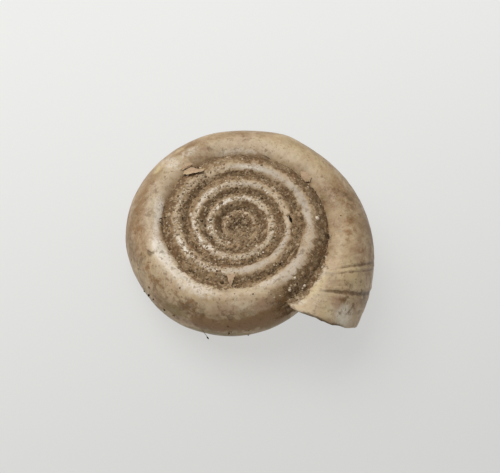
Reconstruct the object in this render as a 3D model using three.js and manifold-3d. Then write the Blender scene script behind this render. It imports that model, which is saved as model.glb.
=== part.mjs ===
// Ramshorn snail shell: one hollow tube that coils about five and a half times around
// a sunken apex and ends in a thin, slanting lip. Millimetres, +Z up, lying on its base.

import * as THREE from "three";
import { mergeVertices } from "three/addons/utils/BufferGeometryUtils.js";
import Module from "manifold-3d";

// Growth is measured in whorls, full turns from the apex.
const WHORLS = 5.5515;
const APEX_ANGLE = THREE.MathUtils.degToRad(160.3);

// The centre line of the tube: an even spiral plus a part that widens with each whorl.
const EVEN_STEP = 0.6902;
const WIDENING = 0.0666;
const WIDENING_PER_WHORL = 1.929;

// The tube's section is an upright oval, sized by the step between whorls.
const HALF_WIDTH_PER_STEP = 0.9539;
const HEIGHT_PER_WIDTH = 1.5328;

// Height of the tube's crest over the apex, as a curve of its distance from the axis.
const CREST_RISE = 0.5789;
const CREST_SINK = 0.0686;
const CREST_DROP = 0.0013;

// The lip leans forward over the mouth, flares and thins to its edge.
const LIP_LEAD = 0.063;
const LIP_TURN = THREE.MathUtils.degToRad(95);
const LIP_FADE = THREE.MathUtils.degToRad(60);
const FLARE = 0.28;
const FLARE_WHORLS = 0.24;
const FLARE_SIDE = THREE.MathUtils.degToRad(35);

// Halts in growth near the mouth, each a low ring that runs along the lip's slant.
const GROWTH_HALTS = [5.38, 5.422, 5.463, 5.497, 5.527];
const HALT_HEIGHT = 0.035;
const HALT_WHORLS = 0.006;
const HALT_CLEARANCE = 0.012;

// The wall, as a share of the tube's half width, and at its thin places.
const WALL_SHARE = 0.18;
const LIP_WALL_SHARE = 0.07;
const LIP_THINNING_WHORLS = 0.06;
const INNER_LINING = 0.07;
const CAVITY_START = 0.75;
const CAVITY_PAST_LIP = 0.03;

// The shell lies tilted, its mouth side raised, on two worn places of its base.
const BASE_NORMAL = new THREE.Vector3(0.1274, 0.0118, 0.9918);
const BASE_WEAR = 0.07;

// Fineness of the faceted surface.
const OUTSIDE_POINTS = 20;
const CAVITY_POINTS = 18;
const INNER_ROWS = 40;
const OUTER_ROWS = 88;
const FINE_FROM_WHORL = 2.5;
const SEGMENT_ROWS = 10;
const CAP_REACH = 0.5;
const AXIS_CLEARANCE = 0.03;
const BULB_RADIUS = 0.4;
const BULB_SEGMENTS = 12;
const SLIVER_SIZE = 0.004;

const wasm = await Module();
wasm.setup();

// Distance of the tube's centre line from the axis, at a growth of so many whorls.
function centreRadius(whorl) {
  return EVEN_STEP * whorl + WIDENING * (WIDENING_PER_WHORL ** whorl - 1);
}

// The plain oval section of the tube at a growth, as its centre and half sizes.
function ovalAt(whorl) {
  const widening = WIDENING * (WIDENING_PER_WHORL - 1) * WIDENING_PER_WHORL ** (whorl - 1);
  const halfWidth = HALF_WIDTH_PER_STEP * (EVEN_STEP + widening);
  const halfHeight = HEIGHT_PER_WIDTH * halfWidth;
  const radius = centreRadius(whorl);
  const crest = radius * (CREST_RISE - radius * (CREST_SINK + radius * CREST_DROP));
  return { radius, height: crest - halfHeight, halfWidth, halfHeight };
}

// How far the growth at one side of the section runs ahead of the growth at its outer edge.
// The lead rises evenly from the edge to the crest and is lost where the whorl inside begins.
function lipLead(side) {
  const turned = Math.atan2(Math.sin(side), Math.cos(side));
  const rise = THREE.MathUtils.clamp(turned / LIP_TURN, -1, 1);
  const fade = THREE.MathUtils.clamp((Math.PI - Math.abs(turned)) / LIP_FADE, 0, 1);
  return LIP_LEAD * rise * fade;
}

// Swelling of the tube where it flares to the lip, most on its outer and upper side.
function flareAt(row, side) {
  const share = Math.max(0, 1 - (WHORLS - row) / FLARE_WHORLS);
  const facing = (1 + Math.cos(side - FLARE_SIDE)) / 2;
  return FLARE * share * facing;
}

// Height of the rings of halted growth on the outside.
function haltAt(row) {
  return GROWTH_HALTS.includes(row) ? HALT_HEIGHT : 0;
}

// Wall thickness at a growth line, thinning towards the lip.
function wallAt(row, halfWidth) {
  const thinning = THREE.MathUtils.clamp(1 - (WHORLS - row) / LIP_THINNING_WHORLS, 0, 1);
  return halfWidth * THREE.MathUtils.lerp(WALL_SHARE, LIP_WALL_SHARE, thinning);
}

// One point of the tube, at a growth line and a side of the section.
function tubePoint(row, side, isCavity) {
  const whorl = row + lipLead(side);
  const oval = ovalAt(whorl);
  const growth = flareAt(row, side) + (isCavity ? -wallAt(row, oval.halfWidth) : haltAt(row));
  let radius = oval.radius + (oval.halfWidth + growth) * Math.cos(side);
  const height = oval.height + (oval.halfHeight + growth) * Math.sin(side);
  if (isCavity && whorl > 1) {
    radius = Math.max(radius, outsidePreviousWhorl(whorl, height));
  }
  radius = Math.max(radius, AXIS_CLEARANCE);
  const angle = APEX_ANGLE - 2 * Math.PI * whorl;
  return [radius * Math.cos(angle), radius * Math.sin(angle), height];
}

// Nearest distance from the axis that clears the whorl inside this one, at a height.
function outsidePreviousWhorl(whorl, height) {
  const inner = ovalAt(whorl - 1);
  const rise = (height - inner.height) / (inner.halfHeight + INNER_LINING);
  if (Math.abs(rise) >= 1) {
    return 0;
  }
  return inner.radius + (inner.halfWidth + INNER_LINING) * Math.sqrt(1 - rise * rise);
}

// Evenly spaced growth lines of one stretch of the tube, without its last one.
function evenRows(from, to, count) {
  return Array.from({ length: count }, (_, k) => THREE.MathUtils.lerp(from, to, k / count));
}

// Growth lines of the smooth tube, from the apex to just before the lip.
function plainRows() {
  return [
    ...evenRows(0, FINE_FROM_WHORL, INNER_ROWS),
    ...evenRows(FINE_FROM_WHORL, WHORLS, OUTER_ROWS),
  ];
}

// Growth lines of the outside, with three across each halt.
function outsideRows() {
  const isClear = (row) => GROWTH_HALTS.every((halt) => Math.abs(row - halt) > HALT_CLEARANCE);
  const across = GROWTH_HALTS.flatMap((halt) => [halt - HALT_WHORLS, halt, halt + HALT_WHORLS]);
  return [...plainRows().filter(isClear), ...across, WHORLS].sort((a, b) => a - b);
}

// Growth lines of the cavity, which starts past the apex and runs out through the mouth.
function cavityRows() {
  const inside = plainRows().filter((row) => row >= CAVITY_START);
  return [...inside, WHORLS, WHORLS + CAVITY_PAST_LIP];
}

// A closed solid of the tube along a list of growth lines.
function tubeSolid(rows, isCavity) {
  const count = isCavity ? CAVITY_POINTS : OUTSIDE_POINTS;
  const points = [];
  const triangles = [];
  for (const row of rows) {
    for (let i = 0; i < count; i += 1) {
      points.push(tubePoint(row, 2 * Math.PI * i / count, isCavity));
    }
  }
  for (let k = 0; k < rows.length - 1; k += 1) {
    for (let i = 0; i < count; i += 1) {
      const next = (i + 1) % count;
      const near = k * count;
      const far = near + count;
      triangles.push(near + i, near + next, far + i, near + next, far + next, far + i);
    }
  }
  const last = (rows.length - 1) * count;
  closeEnd(points, triangles, 0, count, count, false);
  closeEnd(points, triangles, last, last - count, count, true);
  return solidFrom(new Float32Array(points.flat()), new Uint32Array(triangles));
}

// A low cone closes one end of the tube. Its tip stands out from the end by part of a growth
// step, so it lies inside the stretch of tube that joins there.
function closeEnd(points, triangles, first, neighbour, count, isFarEnd) {
  const middle = ringMiddle(points, first, count);
  const before = ringMiddle(points, neighbour, count);
  const tip = points.push(middle.map((value, axis) => value + CAP_REACH * (value - before[axis]))) - 1;
  for (let i = 0; i < count; i += 1) {
    const here = first + i;
    const next = first + (i + 1) % count;
    triangles.push(tip, isFarEnd ? here : next, isFarEnd ? next : here);
  }
}

function ringMiddle(points, first, count) {
  const ring = points.slice(first, first + count);
  return [0, 1, 2].map((axis) => ring.reduce((sum, point) => sum + point[axis], 0) / count);
}

function solidFrom(vertProperties, triVerts) {
  return new wasm.Manifold(new wasm.Mesh({ numProp: 3, vertProperties, triVerts }));
}

// A closed solid of a standard shape, whose corners are first merged to one point each.
function shapeSolid(geometry) {
  geometry.deleteAttribute("normal");
  geometry.deleteAttribute("uv");
  const merged = mergeVertices(geometry);
  return solidFrom(merged.getAttribute("position").array, new Uint32Array(merged.index.array));
}

// The bulb of the embryo's shell, which closes the coil at its axis.
function apexBulb() {
  const oval = ovalAt(0);
  const bulb = new THREE.SphereGeometry(BULB_RADIUS, BULB_SEGMENTS, BULB_SEGMENTS / 2);
  bulb.rotateX(Math.PI / 2);
  bulb.scale(1, 1, oval.halfHeight / BULB_RADIUS);
  bulb.translate(0, 0, oval.height);
  return shapeSolid(bulb);
}

// The coiled outside of the shell, joined whorl by whorl.
function coilSolid() {
  const rows = outsideRows();
  let coil = apexBulb();
  for (let first = 0; first < rows.length - 1; first += SEGMENT_ROWS) {
    coil = coil.add(tubeSolid(rows.slice(first, first + SEGMENT_ROWS + 1), false));
  }
  return coil;
}

// Turns the coil to its lying pose and wears its lowest places flat.
function layDown(coil) {
  const turn = new THREE.Quaternion().setFromUnitVectors(
    BASE_NORMAL.clone().normalize(),
    new THREE.Vector3(0, 0, 1),
  );
  const matrix = new THREE.Matrix4().makeRotationFromQuaternion(turn);
  const lying = coil.transform(matrix.toArray());
  const box = lying.boundingBox();
  const size = 4 * box.max[0];
  const block = new THREE.BoxGeometry(size, size, size);
  block.translate(0, 0, box.min[2] + BASE_WEAR - size / 2);
  return lying.subtract(shapeSolid(block));
}

function shellMesh() {
  const cavity = tubeSolid(cavityRows(), true);
  const shell = layDown(coilSolid().subtract(cavity)).simplify(SLIVER_SIZE);
  const box = shell.boundingBox();
  const mesh = shell.getMesh();
  const geometry = new THREE.BufferGeometry();
  geometry.setAttribute("position", new THREE.BufferAttribute(mesh.vertProperties, 3));
  geometry.setIndex(new THREE.BufferAttribute(mesh.triVerts, 1));
  geometry.computeVertexNormals();
  const material = new THREE.MeshStandardMaterial({ color: 0xb9a27d, roughness: 0.55, metalness: 0 });
  const part = new THREE.Mesh(geometry, material);
  part.name = "shell";
  part.position.set(
    -(box.min[0] + box.max[0]) / 2,
    -(box.min[1] + box.max[1]) / 2,
    -box.min[2],
  );
  return part;
}

const ramshorn = new THREE.Group();
ramshorn.add(shellMesh());

export default ramshorn;
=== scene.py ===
import itertools
import math

import bpy
import numpy as np
from mathutils import Matrix, Vector


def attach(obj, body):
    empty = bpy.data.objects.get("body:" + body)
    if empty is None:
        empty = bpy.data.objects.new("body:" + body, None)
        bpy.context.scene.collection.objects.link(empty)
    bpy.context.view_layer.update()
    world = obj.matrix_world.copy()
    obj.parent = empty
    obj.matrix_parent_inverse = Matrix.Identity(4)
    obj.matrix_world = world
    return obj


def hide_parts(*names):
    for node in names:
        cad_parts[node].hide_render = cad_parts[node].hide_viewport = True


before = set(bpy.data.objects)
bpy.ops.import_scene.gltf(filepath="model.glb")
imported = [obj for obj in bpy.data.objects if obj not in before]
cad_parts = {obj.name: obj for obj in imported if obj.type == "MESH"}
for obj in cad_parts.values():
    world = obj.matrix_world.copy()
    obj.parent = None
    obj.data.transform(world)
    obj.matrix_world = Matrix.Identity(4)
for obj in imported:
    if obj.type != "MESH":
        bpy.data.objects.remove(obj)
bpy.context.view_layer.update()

MM = 0.001
FULL_TURN = 2 * math.pi

# Growth of the shell in whorls and millimetres, as the solid has it.
WHORLS = 5.5515
APEX_ANGLE = math.radians(160.3)
EVEN_STEP = 0.6902
WIDENING = 0.0666
WIDENING_PER_WHORL = 1.929
HALF_WIDTH_PER_STEP = 0.9539
HEIGHT_PER_WIDTH = 1.5328
CREST_RISE = 0.5789
CREST_SINK = 0.0686
CREST_DROP = 0.0013
LIP_LEAD = 0.063
LIP_TURN = math.radians(95)
LIP_FADE = math.radians(60)
FLARE = 0.28
FLARE_WHORLS = 0.24
FLARE_SIDE = math.radians(35)
WALL_SHARE = 0.18
LIP_WALL_SHARE = 0.07
LIP_THINNING_WHORLS = 0.06
AXIS_CLEARANCE = 0.03

# How the coil lies: its base normal turns to +Z, and its apex sits at this place.
BASE_NORMAL = Vector((0.1274, 0.0118, 0.9918))
APEX_PLACE = np.array((-0.9618, -0.5946, 4.0453))
TURN = np.array(BASE_NORMAL.rotation_difference(Vector((0, 0, 1))).to_matrix())

# The photograph's view of the coil: tilt from the coil's axis, distance, and framing.
IMAGE_WIDTH = 500
IMAGE_HEIGHT = 473
VIEW_TILT = math.radians(28.5)
PIXELS_PER_MM = 17.33
VIEW_DISTANCE_PIXELS = 2000
APEX_PIXEL = (237.4, 230.6)
SENSOR_WIDTH = 36.0

# Fineness of the shell's mesh: growth lines in each stretch, and points around the wall.
STRETCHES = (
    (0.0, 1.5, 80),
    (1.5, 3.35, 200),
    (3.35, 3.43, 26),
    (3.43, 4.5, 195),
    (4.5, 5.34, 260),
    (5.34, 5.44, 50),
    (5.44, WHORLS, 130),
)
OUTSIDE_POINTS = 80
INSIDE_POINTS = 16
EMBED_ANGLE = math.radians(7)
SEAM_SIDE = math.radians(178.5)
# Sides in degrees between which the groove is looked for, and how finely.
SUTURE_RANGE = (80, 180)
SUTURE_STEPS = 201


def centre_radius(whorl):
    return EVEN_STEP * whorl + WIDENING * (WIDENING_PER_WHORL ** whorl - 1)


def oval(whorl):
    """Centre distance, centre height, half width and half height of the tube."""
    widening = WIDENING * (WIDENING_PER_WHORL - 1) * WIDENING_PER_WHORL ** (whorl - 1)
    half_width = HALF_WIDTH_PER_STEP * (EVEN_STEP + widening)
    half_height = HEIGHT_PER_WIDTH * half_width
    radius = centre_radius(whorl)
    crest = radius * (CREST_RISE - radius * (CREST_SINK + radius * CREST_DROP))
    return radius, crest - half_height, half_width, half_height


def lip_lead(side):
    turned = np.arctan2(np.sin(side), np.cos(side))
    rise = np.clip(turned / LIP_TURN, -1, 1)
    fade = np.clip((math.pi - np.abs(turned)) / LIP_FADE, 0, 1)
    return LIP_LEAD * rise * fade


def flare(row, side):
    share = np.maximum(0, 1 - (WHORLS - row) / FLARE_WHORLS)
    return FLARE * share * (1 + np.cos(side - FLARE_SIDE)) / 2


def wall(row, half_width):
    thinning = np.clip(1 - (WHORLS - row) / LIP_THINNING_WHORLS, 0, 1)
    return half_width * (WALL_SHARE + (LIP_WALL_SHARE - WALL_SHARE) * thinning)


def section_point(whorl, side, growth):
    """Distance from the axis and height of a point of the tube's section."""
    radius, height, half_width, half_height = oval(whorl)
    distance = radius + (half_width + growth) * np.cos(side)
    return np.maximum(distance, AXIS_CLEARANCE), height + (half_height + growth) * np.sin(side)


def coil_point(whorl, distance, height):
    angle = APEX_ANGLE - FULL_TURN * whorl
    return np.stack([distance * np.cos(angle), distance * np.sin(angle), height], -1)


def to_frame(points):
    """Coil millimetres to the row frame in metres."""
    return (points @ TURN.T + APEX_PLACE) * MM


def smooth_noise(points, size, seed):
    """Smooth lumps of about this size, from -1 to 1."""
    cells = 32
    table = np.random.default_rng(seed).uniform(-1, 1, (cells, cells, cells))
    scaled = points / size
    low = np.floor(scaled).astype(int)
    part = scaled - low
    part = part * part * (3 - 2 * part)
    total = np.zeros(points.shape[:-1])
    for corner in np.ndindex(2, 2, 2):
        weight = np.ones_like(total)
        for axis in range(3):
            weight = weight * (part[..., axis] if corner[axis] else 1 - part[..., axis])
        index = (low + np.array(corner)) % cells
        total += weight * table[index[..., 0], index[..., 1], index[..., 2]]
    return total


def strip_noise(along, across, seed):
    """Smooth lumps of size 1 on a flat strip, from -1 to 1."""
    return smooth_noise(np.stack([along, across, 0 * along], -1), 1.0, seed)


def layered_noise(points, layers, start=0):
    """A start value plus layers of smooth lumps, each of a height, a size and a seed."""
    return sum((height * smooth_noise(points, size, seed) for height, size, seed in layers), start)


def smooth_step(value):
    share = np.clip(value, 0, 1)
    return share * share * (3 - 2 * share)


def bell(value, middle, reach):
    """A soft bump of height 1 around a middle."""
    return np.exp(-((value - middle) / reach) ** 2)


def inside_previous(whorl, distance, height):
    """How deep a point lies inside the whorl before, as a share; 0 or less is outside."""
    radius, middle, half_width, half_height = oval(np.maximum(whorl - 1, 0))
    across = (distance - radius) / half_width
    along = (height - middle) / half_height
    return np.where(whorl > 1, 1 - across ** 2 - along ** 2, -1.0)


def suture_side(growths, upward, shrink, leads):
    """Side angle at which the wall meets the whorl before, at each growth line or at each whorl."""
    sides = upward * np.radians(np.linspace(*SUTURE_RANGE, SUTURE_STEPS))
    growth_grid, side_grid = np.meshgrid(growths, sides, indexing="ij")
    row = growth_grid if leads else growth_grid - lip_lead(side_grid)
    whorl = row + lip_lead(side_grid)
    growth = flare(row, side_grid) - shrink * wall(row, oval(whorl)[2])
    met = inside_previous(whorl, *section_point(whorl, side_grid, growth)) > 0
    first = np.where(met.any(1), met.argmax(1), len(sides) - 1)
    return sides[first]


def growth_rows():
    rows = [np.linspace(start, stop, count, endpoint=False) for start, stop, count in STRETCHES]
    return np.append(np.concatenate(rows), WHORLS)


def add_object(name, data):
    made = bpy.data.objects.new(name, data)
    bpy.context.scene.collection.objects.link(made)
    return made


def new_piece(name, points, faces, material, attributes=None, smooth=True):
    """A mesh piece from coil points in millimetres, with named values on its points."""
    mesh = bpy.data.meshes.new(name)
    mesh.from_pydata(to_frame(points).tolist(), [], faces)
    mesh.polygons.foreach_set("use_smooth", [smooth] * len(mesh.polygons))
    for key, values in (attributes or {}).items():
        mesh.attributes.new(key, "FLOAT", "POINT").data.foreach_set("value", values.astype(np.float32))
    mesh.materials.append(material)
    mesh.validate()
    return add_object(name, mesh)


def ring_faces(row_count, ring_count):
    """Quads between neighbouring closed rings of points."""
    near = np.arange(row_count - 1)[:, None] * ring_count
    far = near + ring_count
    here = np.arange(ring_count)[None, :]
    after = (here + 1) % ring_count
    return np.stack([near + here, far + here, far + after, near + after], -1).reshape(-1, 4).tolist()


def join_blocks(blocks):
    """Points and faces of several meshes as one."""
    points = []
    faces = []
    for block, block_faces in blocks:
        start = sum(len(done) for done in points)
        points.append(block)
        faces += [[start + index for index in face] for face in block_faces]
    return np.concatenate(points), faces


def zip_faces(outer, inner):
    """Triangles of the strip between two lists of points that run the same way."""
    faces = []
    i = 0
    j = 0
    while i < len(outer) - 1 or j < len(inner) - 1:
        if j == len(inner) - 1 or (i + 1) / (len(outer) - 1) <= (j + 1) / (len(inner) - 1):
            faces.append([outer[i], outer[i + 1], inner[j]])
            i += 1
        else:
            faces.append([outer[i], inner[j + 1], inner[j]])
            j += 1
    return faces


def spread(low, high, count):
    """Evenly spaced values between two values for each growth line."""
    return low[:, None] + (high - low)[:, None] * np.linspace(0, 1, count)[None, :]


# Halts in growth: growth line, height, width in whorls, and darkness of the line.
GROWTH_HALTS = (
    (5.345, 0.008, 0.004, 0.0),
    (5.38, 0.01, 0.004, 0.1),
    (5.422, 0.01, 0.004, 0.1),
    (5.4605, 0.04, 0.003, 1.0),
    (5.47, 0.032, 0.0026, 0.8),
    (5.5005, 0.06, 0.0042, 1.5),
    (5.514, 0.012, 0.002, 0.3),
    (5.531, 0.014, 0.002, 0.3),
)
# Uneven places of the last whorl: growth line, height, and width in whorls.
UNEVEN = ((5.235, 0.12, 0.03), (4.878, -0.09, 0.04))
# Side at which halts in growth have faded out, and the stretch over which they fade.
HALT_END = math.radians(98)
HALT_FADE = math.radians(22)
# Swells of the whole wall: height, size and seed of their lumps.
SWELLS = ((0.030, 1.7, 11), (0.010, 0.6, 12))
# Fine growth lines: width in whorls, length as a side angle, height, and extra height at the mouth.
LINE_WHORLS = 0.0045
LINE_SIDE = 0.9
LINE_HEIGHT = 0.002
MOUTH_LINE_HEIGHT = 0.004
MOUTH_LINES_START = 5.30
MOUTH_LINES_WHORLS = 0.2
# Rough inner whorls: height and size of the lumps, and the growth at which they fade out.
ROUGH_HEIGHT = 0.035
ROUGH_SIZE = 0.5
ROUGH_ENDS = 4.5
ROUGH_FADE = 0.4
# The lip's edge turns up a little.
LIP_FLARE = 0.07
LIP_FLARE_WHORLS = 0.022
# Growth that chips take off the lip's edge, how far back they are felt, in whorls, the lengths of
# small and of large chips as side angles, and the depths of the mean, small and large chips.
LIP_CHIPS = 0.0026
LIP_CHIP_WHORLS = 0.016
SMALL_CHIP = 0.07
LARGE_CHIP = 0.25
MEAN_DEPTH = 0.5
SMALL_DEPTH = 0.5
LARGE_DEPTH = 0.4
# A hole in the crest of an inner whorl: whorl, side, reach along and across, and depth. Its shallow dent
# is painted black: painted shade of the hole's depth.
HOLE = (3.434, math.radians(79), 0.015, math.radians(9), 0.14)


def hole_share(whorl, side):
    place, middle, along, across, _ = HOLE
    return np.exp(-(((whorl - place) / along) ** 2 + ((side - middle) / across) ** 2) ** 2)


def halt_reach(side):
    """How much halts in growth show, from 1 on the flank to 0 past the crest."""
    return np.clip((HALT_END - np.abs(side)) / HALT_FADE, 0, 1)


def chip_reach(row):
    """How far chips are felt, from 0 behind the lip to 1 at its edge."""
    return smooth_step((row - WHORLS) / LIP_CHIP_WHORLS + 1)


def lip_chips(row, side):
    """Growth lost at the chipped edge of the lip."""
    small = strip_noise(side / SMALL_CHIP, 0 * side, 15)
    large = strip_noise(side / LARGE_CHIP, 0 * side, 16)
    lost = np.clip(MEAN_DEPTH + SMALL_DEPTH * small + LARGE_DEPTH * large, 0, 1)
    return LIP_CHIPS * lost * chip_reach(row)


def outer_relief(row, side, points):
    """Height of the real surface over the plain oval."""
    relief = layered_noise(points, SWELLS)
    near_mouth = np.clip((row - MOUTH_LINES_START) / MOUTH_LINES_WHORLS, 0, 1)
    line_height = LINE_HEIGHT + MOUTH_LINE_HEIGHT * near_mouth
    relief += line_height * strip_noise(row / LINE_WHORLS, side / LINE_SIDE, 13)
    rough = np.clip((ROUGH_ENDS - row) / ROUGH_FADE, 0, 1)
    relief += ROUGH_HEIGHT * rough * smooth_noise(points, ROUGH_SIZE, 14)
    for halt, height, width, _ in GROWTH_HALTS:
        offset = (row - halt) / width
        relief -= height * halt_reach(side) * offset * np.exp(-offset ** 2)
    relief += LIP_FLARE * smooth_step((row - WHORLS) / LIP_FLARE_WHORLS + 1)
    for place, height, width in UNEVEN:
        relief += height * bell(row, place, width)
    return relief - HOLE[-1] * hole_share(row + lip_lead(side), side)


# Marks on the shell by kind: whorl, side in degrees, reach along in whorls, reach across in degrees,
# and strength. Where "spots" is strong, small brown spots lie close together.
MARKS = {
    "chalk": (
        (4.88, 99, 0.04, 16, 1.2), (4.83, 96, 0.05, 15, 0.75), (4.93, 106, 0.045, 9, 0.7),
        (4.985, 103, 0.03, 9, 0.6), (4.975, 113, 0.03, 9, 0.9), (5.2, 113, 0.05, 9, 0.5),
        (5.072, 78, 0.014, 30, 0.55), (4.78, 86, 0.05, 20, 0.6), (4.7, 88, 0.05, 14, 0.2),
        (4.63, 102, 0.05, 10, 0.45), (4.23, 103, 0.06, 7, 0.6), (3.86, 88, 0.06, 10, 0.9),
        (3.76, 86, 0.06, 9, 0.6), (4.02, 92, 0.06, 8, 0.5), (3.05, 92, 0.1, 10, 0.8),
        (2.89, 84, 0.08, 12, 1.2), (2.81, 98, 0.06, 12, 0.8), (2.72, 88, 0.08, 9, 0.4),
        (2.5, 84, 0.08, 9, 0.5), (2.14, 92, 0.14, 11, 1.0), (1.93, 82, 0.08, 13, 1.2),
        # The chalk at whorl 5.559, side 38, on the lip is a real pale patch made brighter than shell can
        # be: partly painted light falling on the lip from the front.
        (5.585, 102, 0.03, 12, 0.6), (5.545, 106, 0.025, 10, 0.5), (5.559, 38, 0.013, 17, 0.9),
        (5.108, 84, 0.02, 10, 0.45),
    ),
    "cream": (
        # The first two cream marks, on the lip, are partly painted light, like the chalk there.
        (5.559, 34, 0.015, 20, 1.4), (5.571, 54, 0.01, 15, 1.0), (4.73, 58, 0.03, 14, 0.5),
        (4.69, 62, 0.03, 14, 1.0),
    ),
    "grey": (
        (4.57, 99, 0.08, 13, 1.0), (4.4, 99, 0.11, 13, 1.0), (4.25, 101, 0.09, 11, 1.0),
        (4.48, 82, 0.06, 10, 0.7), (4.57, 82, 0.05, 10, 0.9), (3.66, 97, 0.09, 14, 1.0),
        (3.52, 97, 0.08, 14, 1.0), (3.22, 98, 0.12, 10, 0.8), (2.62, 92, 0.08, 16, 0.8),
        (2.3, 94, 0.12, 12, 0.5),
    ),
    "brown": (
        (4.69, 8, 0.04, 18, 0.6), (4.74, 6, 0.03, 16, 0.8), (4.762, 28, 0.02, 16, 0.3),
        (4.82, 18, 0.04, 16, 0.4), (5.388, 92, 0.014, 16, 0.45), (5.41, 76, 0.012, 12, 0.35),
        (5.386, 85, 0.005, 8, 1.4), (5.394, 74, 0.005, 8, 1.3), (5.402, 64, 0.004, 7, 1.2),
        (4.6, 56, 0.026, 16, 0.6), (4.38, 100, 0.045, 13, 0.55), (4.718, 98, 0.025, 9, 0.55),
        (5.535, 90, 0.014, 13, 0.5), (4.61, 20, 0.016, 30, 0.4), (4.71, -24, 0.09, 12, 0.6),
        (4.91, 34, 0.045, 15, 0.7), (4.886, 73, 0.008, 6, 1.1), (4.625, 40, 0.018, 22, 0.7),
    ),
    "dark_stain_and_shadow": (
        # The dark mark at whorl 4.61, side 34, is painted shadow of the lip on the flank, and the one at
        # 5.521, side 15, is painted shadow on the lip's right edge.
        (4.752, 20, 0.01, 14, 0.5), (4.59, 50, 0.014, 18, 0.45), (4.61, 34, 0.01, 16, 0.25),
        (5.521, 15, 0.006, 14, 0.6),
    ),
    "olive": (
        (4.795, 18, 0.02, 15, 1.1), (4.72, -16, 0.06, 12, 1.0), (4.64, -10, 0.04, 14, 0.8),
        (4.82, -8, 0.04, 12, 0.6), (5.045, 80, 0.016, 16, 0.5), (5.2, 76, 0.04, 10, 0.3),
        (5.385, 110, 0.016, 9, 0.5),
    ),
    "pink": (
        (4.645, 52, 0.03, 18, 0.9), (5.555, 57, 0.012, 12, 0.8), (5.538, 36, 0.012, 12, 0.5),
        (5.48, 60, 0.02, 24, 0.5), (4.715, 54, 0.028, 16, 0.7), (4.778, 3, 0.018, 8, 1.0),
        (4.93, 60, 0.03, 16, 0.4),
    ),
    "yellow": (
        (5.575, 101, 0.022, 10, 0.9), (5.555, 98, 0.022, 9, 0.7), (5.3, 72, 0.08, 32, 0.45),
        (5.42, 66, 0.06, 32, 0.2), (5.558, 36, 0.014, 18, 0.4), (5.515, 62, 0.02, 30, 0.55),
        (5.575, 60, 0.012, 16, 0.5), (5.15, 50, 0.06, 24, 0.35), (5.05, 64, 0.01, 10, 0.9),
        (5.1, 62, 0.012, 8, 0.8),
    ),
    "rust": (
        (4.68, 16, 0.045, 22, 1.4), (4.64, 14, 0.035, 26, 1.4), (4.615, 42, 0.02, 24, 1.0),
        (4.748, 16, 0.02, 20, 1.5), (4.72, 6, 0.03, 16, 1.1), (4.77, 36, 0.014, 14, 0.7),
        (4.82, 6, 0.04, 16, 0.5), (5.545, 54, 0.012, 14, 0.5), (5.47, 44, 0.03, 24, 0.4),
        # The rust at whorl 5.41, side 16, and at 5.47, side 8, low on the flank's outer side, is painted
        # shade of the side turned from the light.
        (5.41, 16, 0.06, 26, 0.55), (5.456, 83, 0.026, 14, 0.8), (4.935, 56, 0.04, 18, 0.65),
        (4.853, 46, 0.028, 16, 0.6), (5.47, 8, 0.04, 18, 0.55),
    ),
    "spots": (
        (4.772, 42, 0.018, 20, 1.0), (4.745, 46, 0.04, 18, 0.25), (4.81, 50, 0.045, 18, 0.45),
        (4.87, 52, 0.04, 16, 0.4), (5.39, 88, 0.022, 16, 0.7), (5.41, 66, 0.03, 20, 0.35),
        (5.535, 44, 0.014, 24, 0.45),
    ),
}
# How steeply a mark ends.
MARK_STEEPNESS = 1.5
# How brown the flank of the last whorl is, from light tan to brown, along its growth. From about whorl
# 5.48 to the lip
# it is kept light: partly painted light, in place of a fill light on the lip.
FLANK_WHORLS = (
    4.5, 4.625, 4.64, 4.69, 4.72, 4.8, 4.88, 4.91, 4.98, 5.03, 5.055, 5.085, 5.11, 5.16, 5.26,
    5.345, 5.37, 5.44, 5.48, 5.53, 5.57, 5.6,
)
FLANK_TONES = (
    0.6, 0.6, 0.26, 0.22, 0.1, 0.1, 0.42, 0.62, 0.9, 0.64, 0.32, 0.25, 1.0, 0.66, 0.4, 0.44,
    0.76, 0.7, 0.34, 0.14, 0.02, 0.0,
)
# How worn to cream the crest is along the growth, and how far down the flank in degrees.
CREST_WHORLS = (
    0.0, 4.1, 4.5, 4.65, 4.72, 4.78, 4.85, 4.92, 4.98, 5.05, 5.12, 5.2, 5.3, 5.36, 5.42, 5.5,
    5.56, 5.6,
)
CREST_SHARES = (
    0.85, 0.65, 0.45, 0.7, 0.6, 0.7, 0.9, 0.75, 0.75, 0.7, 0.45, 0.75, 0.65, 0.4, 0.2, 0.4,
    0.55, 0.7,
)
CREST_REACHES = (13, 13, 13, 18, 24, 28, 28, 17, 13, 17, 20, 18, 16, 12, 10, 16, 28, 44)
# Side in degrees of the crest's middle, and half the width of its fully worn stretch.
MIDDLE_WHORLS = (0.0, 2.6, 3.2, 3.5, 3.65, 3.85, 4.0, 4.2, 4.3, 4.45, 4.55, 4.7)
MIDDLE_SIDES = (88, 89, 95, 95, 91, 90, 94, 99, 99, 97, 94, 97)
WORN_HALF = 7
# Cream on the lowest part of the whorl: side and reach in degrees, and strength.
LOWER_CREAM_SIDE = -97
LOWER_CREAM_REACH = 22
LOWER_CREAM = 0.7
# Side in degrees at which the silt of the inner groove ends.
EDGE_WHORLS = (
    1.0, 1.5, 1.7, 1.9, 2.2, 2.9, 3.1, 3.5, 3.65, 3.95, 4.1, 4.25, 4.45, 4.56, 4.63, 4.68, 4.72,
    4.78, 4.83, 4.88, 5.0, 5.1, 5.15, 5.3, 5.4, 5.5, 5.55, 5.62,
)
EDGE_SIDES = (
    107, 101, 103, 101, 106, 105, 111, 108, 109, 106, 112, 115, 109, 114, 114, 110, 103, 106, 112,
    130, 135, 124, 135, 134, 128, 116, 107, 100,
)
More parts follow.
